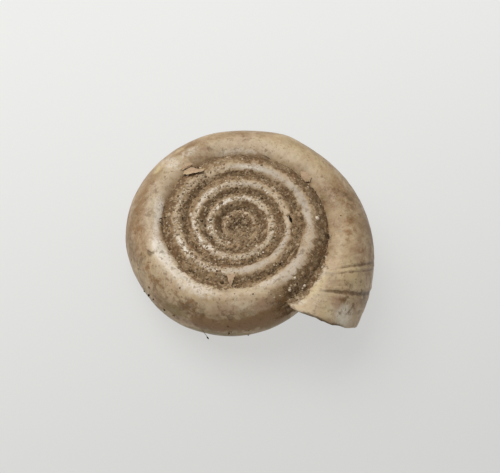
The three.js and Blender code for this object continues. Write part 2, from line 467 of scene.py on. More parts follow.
# Dirt beside the crest, in degrees: its start and fade on the inner side and on the outer side. Outer
# dirt ends between two whorls, where no whorl lies outside any more. Dirt by the lower groove
# reaches this far in millimetres.
INNER_DIRT_START = 10
INNER_DIRT_FADE = 16
OUTER_DIRT_START = 5
OUTER_DIRT_FADE = 19
COVER_WHORLS = (4.60, 4.66)
LOWER_DIRT = 0.30
# How much of the surface a film of dirt covers, from the apex outwards.
FILM_WHORLS = (0.0, 1.6, 1.72, 1.82, 2.2, 2.45, 2.75, 3.0, 3.25, 3.7, 3.8, 4.1, 4.2, 4.35, 4.55)
FILM_SHARES = (1.10, 1.10, 0.95, 0.32, 0.24, 0.18, 0.24, 0.24, 0.16, 0.12, 0.22, 0.30, 0.12, 0.05, 0.0)
# Unevenness of these edges and films: height, size and seed of the lumps.
EDGE_WOBBLE = ((4, 0.9, 21), (5, 0.3, 22))
EDGE_CRUMBS = ((5, 0.13, 25),)
FILM_PATCHES = ((0.8, 0.6, 23), (1.2, 0.18, 24))
# The dark line of a halt, by its ridge's width: how far it lies past the ridge, and its own width.
# Breaks in it have a length in whorls, a length as a side angle, and a mean and change of darkness.
HALT_LINE_OFFSET = 0.6
HALT_LINE_WIDTH = 0.7
BREAK_WHORLS = 0.01
BREAK_SIDE = 0.05
BREAK_MEAN = 0.85
BREAK_CHANGE = 0.35
# Dark line along the lip's edge, partly dirt and partly painted shadow of the lip's underside: strength,
# reach in whorls, and middle and reach in degrees.
LIP_DARK = 1.1
LIP_DARK_WHORLS = 0.0032
LIP_DARK_SIDE = 55
LIP_DARK_REACH = 35
# Growth at which streaks begin to show towards the mouth, and over which they do.
STREAKS_START = 5.42
STREAKS_WHORLS = 0.10
# Looks of the smooth inside of the tube.
INSIDE_LOOKS = {"cream": 0.8, "flank": 0.3}


def groove_dirt(whorl, degrees, wobble):
    """Dirt beside the crest, towards the groove inside and the groove outside of it."""
    edge = np.interp(whorl, EDGE_WHORLS, EDGE_SIDES)
    middle = np.interp(whorl, MIDDLE_WHORLS, MIDDLE_SIDES)
    covered = np.interp(whorl, COVER_WHORLS, (1, 0))
    inward = smooth_step((degrees + wobble - edge + INNER_DIRT_START) / INNER_DIRT_FADE)
    outward = smooth_step((middle - OUTER_DIRT_START - degrees + wobble) / OUTER_DIRT_FADE)
    return np.maximum(inward, outward * covered * (degrees > 0))


def marks(whorl, degrees, places):
    """Soft patches, each strongest at its middle."""
    total = np.zeros_like(whorl)
    for place, middle, along, across, strength in places:
        distance = ((whorl - place) / along) ** 2 + ((degrees - middle) / across) ** 2
        total = np.maximum(total, strength * np.exp(-distance ** MARK_STEEPNESS))
    return total


def growth_lines(row, side):
    """Darkness of the lines that halts in growth leave."""
    total = np.zeros_like(row)
    for halt, _, width, darkness in GROWTH_HALTS:
        offset = (row - halt - HALT_LINE_OFFSET * width) / (HALT_LINE_WIDTH * width)
        total = np.maximum(total, darkness * np.exp(-offset ** 2))
    breaks = strip_noise(row / BREAK_WHORLS, side / BREAK_SIDE, 26)
    return total * halt_reach(side) * (BREAK_MEAN + BREAK_CHANGE * breaks)


def lip_dirt_and_shadow(row, degrees):
    """Darkness along the lip's edge, most on its upper side: partly dirt, partly painted shadow."""
    around = np.exp(-((degrees - LIP_DARK_SIDE) / LIP_DARK_REACH) ** 4)
    return LIP_DARK * bell(WHORLS, row, LIP_DARK_WHORLS) * around


def shell_attributes(row, side, whorl, points, lower):
    """What the shell's finish needs to know at each point of its outside."""
    half_width, half_height = oval(whorl)[2:]
    arc = np.hypot(half_width * np.sin(side), half_height * np.cos(side))
    degrees = np.degrees(side)
    wobble = layered_noise(points, EDGE_WOBBLE)
    groove = groove_dirt(whorl, degrees, wobble + layered_noise(points, EDGE_CRUMBS))
    middle = np.interp(whorl, MIDDLE_WHORLS, MIDDLE_SIDES)
    reach = np.interp(whorl, CREST_WHORLS, CREST_REACHES)
    worn = np.exp(-(np.maximum(np.abs(degrees - middle + wobble) - WORN_HALF, 0) / reach) ** 2)
    worn = worn * np.interp(whorl, CREST_WHORLS, CREST_SHARES)
    below = LOWER_CREAM * bell(degrees + wobble, LOWER_CREAM_SIDE, LOWER_CREAM_REACH)
    values = {name: marks(whorl, degrees, places) for name, places in MARKS.items()}
    values["cream"] = np.maximum.reduce([worn, below, values["cream"]])
    values["dark_stain_and_shadow"] = np.maximum(values["dark_stain_and_shadow"], lip_dirt_and_shadow(row, degrees))
    return {
        **values,
        "growth": row,
        "side": side,
        "mouth": np.clip((row - STREAKS_START) / STREAKS_WHORLS, 0, 1),
        "groove": np.maximum(groove, np.exp(-np.abs(side - lower) * arc / LOWER_DIRT)),
        "film": np.interp(whorl, FILM_WHORLS, FILM_SHARES) * layered_noise(points, FILM_PATCHES, 1),
        "flank": np.interp(whorl, FLANK_WHORLS, FLANK_TONES),
        "hole_shade": hole_share(whorl, side),
        "line": growth_lines(row, side),
    }


def flatten_base(piece):
    """Wears the lowest places flat, where the shell lies on a surface."""
    for vertex in piece.data.vertices:
        vertex.co.z = max(vertex.co.z, 0.0)


def embedded_sides(rows, shrink):
    """Sides at which the wall ends, upper and lower, a little inside the whorl before."""
    upper = np.minimum(suture_side(rows, 1, shrink, True) + EMBED_ANGLE, SEAM_SIDE)
    lower = np.maximum(suture_side(rows, -1, shrink, True) - EMBED_ANGLE, -SEAM_SIDE)
    return upper, lower


def wall_outside(rows):
    """Points of the wall's outside, and what its finish needs to know there."""
    side = spread(*embedded_sides(rows, 0), OUTSIDE_POINTS)
    row = np.repeat(rows[:, None], OUTSIDE_POINTS, 1)
    whorl = row + lip_lead(side) - lip_chips(row, side)
    plain = coil_point(whorl, *section_point(whorl, side, flare(row, side)))
    growth = flare(row, side) + outer_relief(row, side, plain)
    lower = suture_side(rows, -1, 0, True)[:, None]
    points = coil_point(whorl, *section_point(whorl, side, growth))
    return points, shell_attributes(row, side, whorl, plain, lower)


def wall_inside(rows):
    """Points of the wall's inside, which ends behind the chips of the lip."""
    upper, lower = embedded_sides(rows, 1)
    side = spread(lower, upper, INSIDE_POINTS)
    row = np.repeat(rows[:, None], INSIDE_POINTS, 1)
    whorl = row + lip_lead(side)
    whorl -= LIP_CHIPS * chip_reach(row)
    growth = flare(row, side) - wall(row, oval(whorl)[2])
    return coil_point(whorl, *section_point(whorl, side, growth))


def build_shell(material):
    """The coiled wall: outside and inside of the tube, closed at the lip."""
    rows = growth_rows()
    outside, attributes = wall_outside(rows)
    ring = OUTSIDE_POINTS + INSIDE_POINTS
    points = np.concatenate([outside, wall_inside(rows)], 1).reshape(-1, 3)
    faces = ring_faces(len(rows), ring)
    last = (len(rows) - 1) * ring
    outer_lip = list(range(last, last + OUTSIDE_POINTS))
    inner_lip = list(range(last + ring - 1, last + OUTSIDE_POINTS - 1, -1))
    faces += [face[::-1] for face in zip_faces(outer_lip, inner_lip)]
    faces += zip_faces(list(range(OUTSIDE_POINTS)), list(range(ring - 1, OUTSIDE_POINTS - 1, -1)))
    values = {}
    for key, outer_values in attributes.items():
        inner_values = np.full((len(rows), INSIDE_POINTS), INSIDE_LOOKS.get(key, 0.0))
        values[key] = np.concatenate([outer_values, inner_values], 1).ravel()
    piece = new_piece("shell_wall", points, faces, material, values)
    flatten_base(piece)
    return piece, outside, attributes


# Silt in the grooves: rows along them, points across them, and the whorl where it starts.
SILT_ROWS = 1500
SILT_STEPS = 4000
SILT_POINTS = 24
SILT_START = 1.03
# Where silt ends: on the upper side at a share of the lip's lead, on the lower side so many whorls
# short of the lip, and the whorls over which it tapers.
SILT_LEAD_SHARE = 0.9
LOWER_SILT_SHORT = 0.05
SILT_TAPER = 0.03
# How far silt stays from the crest inside in degrees, its reach on the lower side over the whorl
# inside and over the new whorl, its least reach, and how ragged its edges are.
SILT_FROM_CREST = 15
LOWER_INWARD = math.radians(16)
LOWER_OUTWARD = math.radians(10)
LEAST_REACH = math.radians(1.0)
LOWER_RAGGED = 0.3
INNER_RAGGED = 4
OUTER_RAGGED = 3
# How much of the upper and lower groove silt fills, and how much more around the apex.
SILT_FILL = 0.26
LOWER_FILL = 0.25
MIDDLE_FILL = 0.4
MIDDLE_FILL_ENDS = 2.1
# How steep the silt's rim is, how far the rim sinks, and the depth of silt, which tapers to its end.
RIM_STEEPNESS = 0.6
RIM_SINK = 0.02
SILT_DEPTH = 0.12
LEAST_DEPTH = 0.03
DEPTH_TAPER = 0.12
# Unevenness of the silt's two edges, its top and its dampness: height, size and seed of the lumps,
# and how far the lumps of the top stand up in millimetres.
INNER_EDGE_LUMPS = ((1, 0.7, 31), (1, 0.2, 32))
OUTER_EDGE_LUMPS = ((1, 0.8, 33), (1, 0.2, 34))
TOP_LUMPS = ((0.8, 0.26, 35), (0.7, 0.12, 36))
DAMP_LUMPS = ((0.25, 0.5, 37), (0.15, 0.15, 38))
SILT_LUMPS = 0.055
# Stretches of silt that are damper or drier than the rest: whorl, reach, and difference.
DAMP_STRETCHES = (
    (1.07, 0.18, -0.5),
    (2.07, 0.14, -0.4),
    (3.07, 0.12, -0.35),
    (4.66, 0.06, -0.4),
    (5.15, 0.06, 0.45),
    (5.35, 0.05, -0.2),
    (5.58, 0.05, 0.5),
)


def silt_rows(upward):
    """Whorls along the groove, evenly spaced along its length."""
    stop = WHORLS + (SILT_LEAD_SHARE * LIP_LEAD if upward > 0 else -LIP_LEAD - LOWER_SILT_SHORT)
    fine = np.linspace(SILT_START, stop, SILT_STEPS)
    length = np.cumsum(centre_radius(fine))
    return np.interp(np.linspace(length[0], length[-1], SILT_ROWS), length, fine)


def silt_reach(whorl, side, inner_side, upward, distance, height):
    """Sides at which the silt begins on the whorl inside and ends on the new whorl."""
    turned = FULL_TURN * whorl
    around = np.stack([distance * np.cos(turned), distance * np.sin(turned), height], -1)
    inner = layered_noise(around, INNER_EDGE_LUMPS)
    outer = layered_noise(around, OUTER_EDGE_LUMPS)
    if upward < 0:
        start = inner_side - LOWER_INWARD * (1 + LOWER_RAGGED * inner)
        return start, side + LOWER_OUTWARD * (1 + LOWER_RAGGED * outer)
    crest = np.interp(whorl - 1, MIDDLE_WHORLS, MIDDLE_SIDES)
    start = np.radians(crest - SILT_FROM_CREST + INNER_RAGGED * inner)
    stop = np.radians(np.interp(whorl, EDGE_WHORLS, EDGE_SIDES) + OUTER_RAGGED * outer)
    return np.maximum(start, inner_side + LEAST_REACH), np.minimum(stop, side - LEAST_REACH)


def groove_flanks(whorl, whorls, upward):
    """Distance and height of the groove's two flanks, where silt covers them."""
    side = suture_side(whorl, upward, 0, False)
    distance, height = section_point(whorl, side, flare(whorl - lip_lead(side), side))
    radius, middle, half_width, half_height = oval(whorl - 1)
    inner_side = np.arctan2((height - middle) / half_height, (distance - radius) / half_width)
    start, stop = silt_reach(whorl, side, inner_side, upward, distance, height)
    half = SILT_POINTS // 2
    on_outer = spread(side, stop, SILT_POINTS - half)
    outer_flare = flare(whorls[:, half:] - lip_lead(on_outer), on_outer)
    inner = section_point(whorls[:, :half] - 1, spread(start, inner_side, half), 0)
    outer = section_point(whorls[:, half:], on_outer, outer_flare)
    return [np.concatenate(both, 1) for both in zip(inner, outer)]


def silt_surface(upward, fill):
    """Top and bottom of the silt that fills one groove."""
    whorl = silt_rows(upward)
    whorls = np.repeat(whorl[:, None], SILT_POINTS, 1)
    flanks = groove_flanks(whorl, whorls, upward)
    share = np.linspace(0, 1, SILT_POINTS)[None, :]
    to_end = whorl[-1] - whorls
    window = np.sin(math.pi * share) ** RIM_STEEPNESS
    window = window * smooth_step(to_end / SILT_TAPER)
    level = (fill + MIDDLE_FILL * smooth_step(MIDDLE_FILL_ENDS - whorls)) * window
    chords = [flank[:, :1] * (1 - share) + flank[:, -1:] * share for flank in flanks]
    top_distance, top_height = [
        flank * (1 - level) + chord * level for flank, chord in zip(flanks, chords)]
    spot = coil_point(whorls, top_distance, top_height)
    lumps = layered_noise(spot, TOP_LUMPS)
    top_height = top_height + upward * (SILT_LUMPS * lumps * window - RIM_SINK * (1 - window))
    top = coil_point(whorls, top_distance, top_height)
    under = [0, SILT_POINTS // 4, SILT_POINTS // 2, 3 * SILT_POINTS // 4, SILT_POINTS - 1]
    depth = LEAST_DEPTH + (SILT_DEPTH - LEAST_DEPTH) * smooth_step(to_end / DEPTH_TAPER)
    bottom = coil_point(whorls, flanks[0], flanks[1] - upward * depth)[:, under]
    # Across the groove this value rises towards the new whorl's wall, so the silt darkens there: painted
    # shade in the recess. The lumps and the stretches are its own uneven dampness.
    damp = layered_noise(spot, DAMP_LUMPS, share)
    for place, reach, difference in DAMP_STRETCHES:
        damp = damp + difference * bell(whorls, place, reach)
    return top, bottom, damp


def build_silt(material):
    """Silt in the grooves of the upper and of the lower side."""
    upper = silt_surface(1, SILT_FILL)
    lower = silt_surface(-1, LOWER_FILL)
    blocks = []
    damp = []
    for (top, bottom, top_damp_and_shade), flip in ((upper, False), (lower, True)):
        ring = np.concatenate([top, bottom[:, ::-1]], 1)
        count = ring.shape[1]
        faces = ring_faces(len(ring), count)
        faces += [list(range(count)), list(range((len(ring) - 1) * count, len(ring) * count))[::-1]]
        blocks.append((ring.reshape(-1, 3), [face[::-1] for face in faces] if flip else faces))
        damp.append(np.concatenate([top_damp_and_shade, np.ones(bottom.shape[:2])], 1).ravel())
    piece = new_piece("suture_silt", *join_blocks(blocks), material, {"damp": np.concatenate(damp)})
    return piece, upper[0], lower[0]


# The grain's edges are shorter than this, and its other corners lie further apart.
LONGEST_EDGE = 1.2


def grain_shape():
    """Corners and faces of a twenty-sided grain."""
    golden = (1 + math.sqrt(5)) / 2
    corners = []
    for a in (-1, 1):
        for b in (-golden, golden):
            corners += [(0, a, b), (a, b, 0), (b, 0, a)]
    corners = np.array(corners) / math.hypot(1, golden)
    faces = []
    for i, j, k in itertools.combinations(range(len(corners)), 3):
        trio = corners[[i, j, k]]
        edges = np.linalg.norm(trio - np.roll(trio, 1, 0), axis=1)
        if max(edges) < LONGEST_EDGE:
            outward = np.dot(np.cross(trio[1] - trio[0], trio[2] - trio[0]), trio.sum(0)) > 0
            faces.append((i, j, k) if outward else (i, k, j))
    return corners, np.array(faces)


def unit(vectors):
    return vectors / np.linalg.norm(vectors, axis=-1, keepdims=True)


def random_turns(rng, count):
    """Random rotation matrices."""
    w, x, y, z = unit(rng.normal(size=(count, 4))).T
    zero = 0 * w
    cross = np.stack([zero, -z, y, z, zero, -x, -y, x, zero], -1).reshape(-1, 3, 3)
    return np.eye(3) + 2 * (w[:, None, None] * cross + cross @ cross)


# How many grains lie in the upper and lower silt, on the wall beside it, and low on the flank.
GRAINS_ON_SILT = 3200
GRAINS_ON_LOWER_SILT = 900
GRAINS_ON_SHELL = 2100
GRAINS_ON_FLANK = 28
# Where grains stick low on the flank: growth, side, and reach of both.
FLANK_GRAINS = (4.76, 0.05, 0.09, 0.25)
# Sine of the lowest side that has grains of the upper grooves, and their share by the groove's dirt.
LOWEST_GRAIN = 0.3
GROOVE_SHARE = 0.5
# Sizes of grains: least, random part, largest, and the spread of random sizes.
LEAST_GRAIN = 0.016
RANDOM_GRAIN = 0.018
LARGEST_GRAIN = 0.075
SIZE_SPREAD = (1.5, 0.8)
GRAIN_UNEVEN = 0.2
GRAIN_SINK = 0.35
# Tones of grains: darkest, range, spread, shares on the inner silt and on the flank, and how far the
# first of these falls across the silt. That fall is painted shade: grains on the silt darken towards the
# new whorl's wall.
DARKEST_GRAIN = 0.18
GRAIN_RANGE = 0.82
GRAIN_SPREAD = (2.6, 3.4)
INNER_GRAIN_TONE = 1.2
FLANK_GRAIN_TONE = 0.7
SHADE_ACROSS_SILT = 0.5
# Grains on the wall lie off their places by about this far.
PLACE_SPREAD = 0.02
# Keeps random places on a grid short of its last row and column.
GRID_MARGIN = 0.001
# Single bits of dirt: whorl, side in degrees, height over the wall, radius, and tone.
SPECKS = (
    (5.225, 102, 0.0, 0.05, 0.1), (5.252, 104, 0.0, 0.045, 0.12), (5.045, 92, 0.0, 0.045, 0.15),
    (4.665, 84, 0.0, 0.05, 0.25), (4.7, 90, 0.0, 0.045, 0.25), (4.8, 70, 0.0, 0.045, 0.25),
    (5.43, 92, 0.0, 0.045, 0.2), (4.845, 4, 0.0, 0.08, 0.05), (4.835, 6, 0.0, 0.06, 0.1),
    (4.812, 2, 0.0, 0.07, 0.15), (3.3, 78, 0.0, 0.06, 0.05), (3.75, 84, 0.0, 0.055, 0.05),
    (5.525, 112, 0.0, 0.11, 0.9), (5.505, 114, 0.0, 0.08, 0.85), (5.54, 111, 0.0, 0.07, 0.8),
    (5.3, 113, 0.0, 0.06, 0.9), (5.32, 114, 0.0, 0.06, 0.85), (4.6, 58, 0.16, 0.095, 0.84),
    (4.573, 46, 0.22, 0.095, 0.97), (4.578, 44, 0.2, 0.06, 0.9), (4.619, 58, 0.08, 0.05, 0.8),
)


def pick_on_surface(rng, grid, count):
    """Random places on a grid of points, between its rows and columns."""
    rows, columns = grid.shape[:2]
    a = rng.uniform(0, rows - 1 - GRID_MARGIN, count)
    b = rng.uniform(1, columns - 2 - GRID_MARGIN, count)
    i = a.astype(int)
    j = b.astype(int)
    u = (a - i)[:, None]
    v = (b - j)[:, None]
    near = grid[i, j] * (1 - v) + grid[i, j + 1] * v
    far = grid[i + 1, j] * (1 - v) + grid[i + 1, j + 1] * v
    return near * (1 - u) + far * u, b / (columns - 1)


def pick_on_wall(rng, outside, weight, count):
    """Random places on the wall, most of them where the weight is high."""
    share = np.maximum(weight, 0).ravel()
    chosen = rng.choice(share.size, count, replace=False, p=share / share.sum())
    return outside.reshape(-1, 3)[chosen] + rng.normal(scale=PLACE_SPREAD, size=(count, 3))


def build_grains(material, upper_silt, lower_silt, outside, values):
    """Sand and silt grains that stick to the grooves and to the wall beside them."""
    rng = np.random.default_rng(5)
    growth, side, growth_reach, side_reach = FLANK_GRAINS
    low = bell(values["growth"], growth, growth_reach) * bell(values["side"], side, side_reach)
    upper = np.sin(values["side"]) > LOWEST_GRAIN
    beside = upper * (GROOVE_SHARE * values["groove"] + np.maximum(values["film"], 0))
    specks = np.array(SPECKS)
    on_silt, across = pick_on_surface(rng, upper_silt, GRAINS_ON_SILT)
    centres = np.concatenate([
        on_silt,
        pick_on_surface(rng, lower_silt, GRAINS_ON_LOWER_SILT)[0],
        pick_on_wall(rng, outside, beside, GRAINS_ON_SHELL),
        pick_on_wall(rng, outside, low, GRAINS_ON_FLANK),
        wall_points(specks[:, :3]),
    ])
    size = LEAST_GRAIN + RANDOM_GRAIN * rng.gamma(*SIZE_SPREAD, len(centres))
    size = np.minimum(size, LARGEST_GRAIN)
    size[-len(specks):] = specks[:, 3]
    centres[:GRAINS_ON_SILT, 2] -= GRAIN_SINK * size[:GRAINS_ON_SILT]
    tone = DARKEST_GRAIN + GRAIN_RANGE * rng.beta(*GRAIN_SPREAD, len(centres))
    tone[:GRAINS_ON_SILT] *= INNER_GRAIN_TONE - SHADE_ACROSS_SILT * across
    tone[-len(specks) - GRAINS_ON_FLANK:] *= FLANK_GRAIN_TONE
    tone[-len(specks):] = specks[:, 4]
    shape = grain_shape()
    points, faces = scatter(rng, shape, centres, size, GRAIN_UNEVEN)
    tones = {"tone": np.repeat(tone, len(shape[0]))}
    return new_piece("soil_grains", points, faces, material, tones, smooth=False)


# Clumps of crust on the silt, on the soiled middle, on the inner crests and on the fourth crest:
# how many, their least size, random part of the size, and spread of their tones.
CLUMPS = (
    (1050, 0.04, 0.034, (2.4, 3.0)),
    (400, 0.055, 0.04, (9.0, 7.5)),
    (600, 0.035, 0.026, (6.0, 2.6)),
    (400, 0.035, 0.026, (5.0, 2.8)),
)
LARGEST_CLUMP = 0.13
CLUMP_UNEVEN = 0.14
CLUMP_SINK = 0.6
INNER_CLUMP_TONE = 1.25
# Where they lie: sides of the soiled middle and reach beside a crest, in degrees, and whorls.
MIDDLE_FROM = 50
MIDDLE_TO = 135
BESIDE_CREST = 12
MIDDLE_ENDS = 1.74
INNER_CREST_ENDS = 3.4
FOURTH_CREST = 3.95
FOURTH_CREST_REACH = 0.20


def clump_shape():
    """Corners and faces of a round clump: a twenty-sided grain, each side split in four."""
    corners, triangles = grain_shape()
    corners = list(corners)
    halves = {}

    def half(a, b):
        key = (min(a, b), max(a, b))
        if key not in halves:
            middle = corners[a] + corners[b]
            halves[key] = len(corners)
            corners.append(middle / np.linalg.norm(middle))
        return halves[key]

    faces = []
    for a, b, c in triangles:
        ab, bc, ca = half(a, b), half(b, c), half(c, a)
        faces += [(a, ab, ca), (b, bc, ab), (c, ca, bc), (ab, bc, ca)]
    return np.array(corners), np.array(faces)


# Least and most stretch of a grain or clump along each of its axes.
STRETCH = (0.65, 1.25)


def scatter(rng, shape, centres, size, uneven):
    """One uneven copy of a shape at each centre."""
    corners, triangles = shape
    count = len(centres)
    stretch = rng.uniform(*STRETCH, (count, 1, 3))
    rough = rng.uniform(1 - uneven, 1 + uneven, (count, len(corners), 1))
    copies = corners[None] * stretch * rough
    copies = np.einsum("nij,nkj->nki", random_turns(rng, count), copies) * size[:, None, None]
    points = (copies + centres[:, None, :]).reshape(-1, 3)
    faces = (triangles[None] + len(corners) * np.arange(count)[:, None, None]).reshape(-1, 3)
    return points, faces.tolist()


def build_crust(material, upper_silt, outside, values):
    """Clumps of dried soil and lime, half sunk in the silt and in the crests."""
    rng = np.random.default_rng(6)
    whorl = values["growth"] + lip_lead(values["side"])
    degrees = np.degrees(values["side"])
    crest = bell(degrees, np.interp(whorl, MIDDLE_WHORLS, MIDDLE_SIDES), BESIDE_CREST)
    soiled = (whorl < MIDDLE_ENDS) * (degrees > MIDDLE_FROM) * (degrees < MIDDLE_TO)
    inner = (whorl >= MIDDLE_ENDS) * (whorl < INNER_CREST_ENDS) * crest
    fourth = crest * np.exp(-((whorl - FOURTH_CREST) / FOURTH_CREST_REACH) ** 4)
    on_silt, across = pick_on_surface(rng, upper_silt, CLUMPS[0][0])
    spots = [on_silt]
    for weight, (count, *_) in zip((soiled, inner, fourth), CLUMPS[1:]):
        spots.append(pick_on_wall(rng, outside, weight, count))
    centres = np.concatenate(spots)
    sizes = [least + more * rng.gamma(*SIZE_SPREAD, count) for count, least, more, _ in CLUMPS]
    size = np.minimum(np.concatenate(sizes), LARGEST_CLUMP)
    tone = np.concatenate([rng.beta(*tones, count) for count, _, _, tones in CLUMPS])
    # Clumps on the silt darken towards the new whorl's wall, the same painted shade as the grains.
    tone[:len(across)] *= INNER_CLUMP_TONE - SHADE_ACROSS_SILT * across
    centres[:, 2] -= CLUMP_SINK * size
    shape = clump_shape()
    points, faces = scatter(rng, shape, centres, size, CLUMP_UNEVEN)
    return new_piece("soil_crust", points, faces, material, {"tone": np.repeat(tone, len(shape[0]))})


# Thin flakes that peel off: how far the middle stands up, and corners as whorl, side in degrees
# and height over the wall in millimetres.
FLAKES = (
    (0.03, (
        (3.724, 77, 0.03), (3.7, 78, 0.03), (3.705, 61, 0.15), (3.71, 44, 0.28), (3.715, 60, 0.17),
    )),
    (0.06, (
        (5.322, 113, 0.03), (5.331, 107, 0.02), (5.345, 108, 0.02), (5.349, 115, 0.1),
        (5.343, 121, 0.2), (5.332, 120, 0.18),
    )),
    (0.03, (
        (5.073, 117, 0.1), (5.08, 113, 0.1), (5.096, 116, 0.14), (4.1, 74, 0.16),
        (4.112, 86, 0.16), (4.106, 90, 0.18), (4.09, 82, 0.2), (4.076, 70, 0.2),
    )),
    (0.03, (
        (5.074, 107, 0.02), (5.086, 103, 0.02), (5.098, 106, 0.03), (5.103, 112, 0.12),
        (5.094, 114, 0.12), (5.08, 111, 0.08),
    )),
)
FLAKE_THICKNESS = 0.035
FLAKE_STEPS = 4
FLAKE_RINGS = 4
FLAKE_RAGGED = 0.012
RIM_THINNING = 0.6
# Fibres and husks: radius in millimetres, tone, and places as whorl, side and height over the wall.
FIBRES = (
    (0.014, 0.15, ((4.748, -8, 0.0), (4.745, -16, 0.08), (4.741, -20, 0.18), (4.739, -20, 0.28))),
    (0.045, 0.02, ((4.741, -20, 0.22), (4.739, -20, 0.27), (4.737, -20, 0.34))),
    (0.06, 0.02, ((5.459, 118, 0.03), (5.464, 117, 0.05), (5.469, 116, 0.03))),
    (0.012, 0.2, ((5.469, 116, 0.03), (5.468, 112, 0.1), (5.463, 109, 0.12))),
    (0.014, 0.05, ((4.42, 46, 0.04), (4.432, 58, 0.1), (4.446, 72, 0.05))),
    (0.034, 0.04, ((4.946, 120, 0.05), (4.948, 116, 0.07), (4.949, 112, 0.03))),
    (0.03, 0.04, ((4.957, 121, 0.05), (4.958, 117, 0.07), (4.957, 113, 0.03))),
    (0.014, 0.1, ((5.262, 121, 0.03), (5.252, 117, 0.09), (5.24, 116, 0.03))),
    (0.012, 0.1, ((4.975, 122, 0.03), (4.985, 117, 0.11), (4.992, 111, 0.04))),
    (0.036, 0.03, ((3.958, 62, 0.04), (3.96, 57, 0.06), (3.961, 52, 0.03))),
    (0.034, 0.03, ((3.95, 114, 0.03), (3.957, 111, 0.05), (3.964, 110, 0.03))),
    (0.012, 0.15, ((4.88, 84, 0.02), (4.886, 76, 0.08), (4.897, 70, 0.02))),
)
FIBRE_RINGS = 13
FIBRE_CORNERS = 6
FIBRE_END = 0.25
# Any direction that no fibre runs along.
ASIDE = (0.3, 0.5, 0.8)


def wall_points(places):
    """Points over the outside of the wall, from whorls, sides in degrees and heights."""
    whorl, degrees, height = np.array(places).T
    side = np.radians(degrees)
    growth = flare(whorl - lip_lead(side), side) + height
    return coil_point(whorl, *section_point(whorl, side, growth))


def flake_mesh(rng, crown, places):
    """A thin plate of ragged outline through the given places, thinner at its rim."""
    corners = wall_points(places)
    shares = np.linspace(0, 1, FLAKE_STEPS, endpoint=False)[None, :, None]
    rim = corners[:, None] * (1 - shares) + np.roll(corners, -1, 0)[:, None] * shares
    rim = rim.reshape(-1, 3) + rng.normal(scale=FLAKE_RAGGED, size=(rim.size // 3, 3))
    middle = rim.mean(0)
    out = unit(np.cross(rim - middle, np.roll(rim, -1, 0) - middle).sum(0))
    if out[2] < 0:
        rim = rim[::-1]
        out = -out
    sheets = []
    for thickness in (FLAKE_THICKNESS, 0.0):
        share = np.arange(1, FLAKE_RINGS + 1)[:, None, None] / FLAKE_RINGS
        lift = crown * (1 - share ** 2) + thickness * (1 - RIM_THINNING * share ** 2)
        sheets.append(middle + (rim - middle) * share + out * lift)
    centres = middle + out * np.array([[crown + FLAKE_THICKNESS], [crown]])
    rings = np.concatenate([sheets[0], sheets[1][::-1]])
    count = len(rim)
    last = rings.size // 3
    faces = ring_faces(len(rings), count)
    for i in range(count):
        after = (i + 1) % count
        faces += [(last, i, after), (last + 1, last - count + after, last - count + i)]
    return np.concatenate([rings.reshape(-1, 3), centres]), faces


def fibre_mesh(radius, places):
    """A round fibre through the given places, thin at both ends."""
    shares = np.linspace(0, 1, FIBRE_RINGS)
    knots = np.linspace(0, 1, len(places))
    bend = np.polynomial.polynomial.polyfit(knots, wall_points(places), len(places) - 1)
    path = np.polynomial.polynomial.polyval(shares, bend).T
    ahead = unit(np.gradient(path, axis=0))
    first = unit(np.cross(ahead, ASIDE))
    second = np.cross(ahead, first)
    thick = radius * (FIBRE_END + (1 - FIBRE_END) * np.sin(math.pi * shares))
    angle = FULL_TURN * np.arange(FIBRE_CORNERS)[None, :, None] / FIBRE_CORNERS
    around = np.cos(angle) * first[:, None] + np.sin(angle) * second[:, None]
    points = (path[:, None] + thick[:, None, None] * around).reshape(-1, 3)
    faces = [face[::-1] for face in ring_faces(FIBRE_RINGS, FIBRE_CORNERS)]
    last = len(points) - FIBRE_CORNERS
    faces += [tuple(range(FIBRE_CORNERS))[::-1], tuple(range(last, len(points)))]
    return points, faces


def build_flakes(material):
    """Flakes of the wall that peel off at the grooves."""
    rng = np.random.default_rng(8)
    points, faces = join_blocks([flake_mesh(rng, crown, places) for crown, places in FLAKES])
    return new_piece("peeling_flakes", points, faces, material, smooth=False)


def build_fibres(material):
    """Fibres and husks that stick to the wall."""
    blocks = [fibre_mesh(radius, places) for radius, _, places in FIBRES]
    tones = [np.full(len(block[0]), tone) for block, (_, tone, _) in zip(blocks, FIBRES)]
    return new_piece("loose_fibres", *join_blocks(blocks), material, {"tone": np.concatenate(tones)})


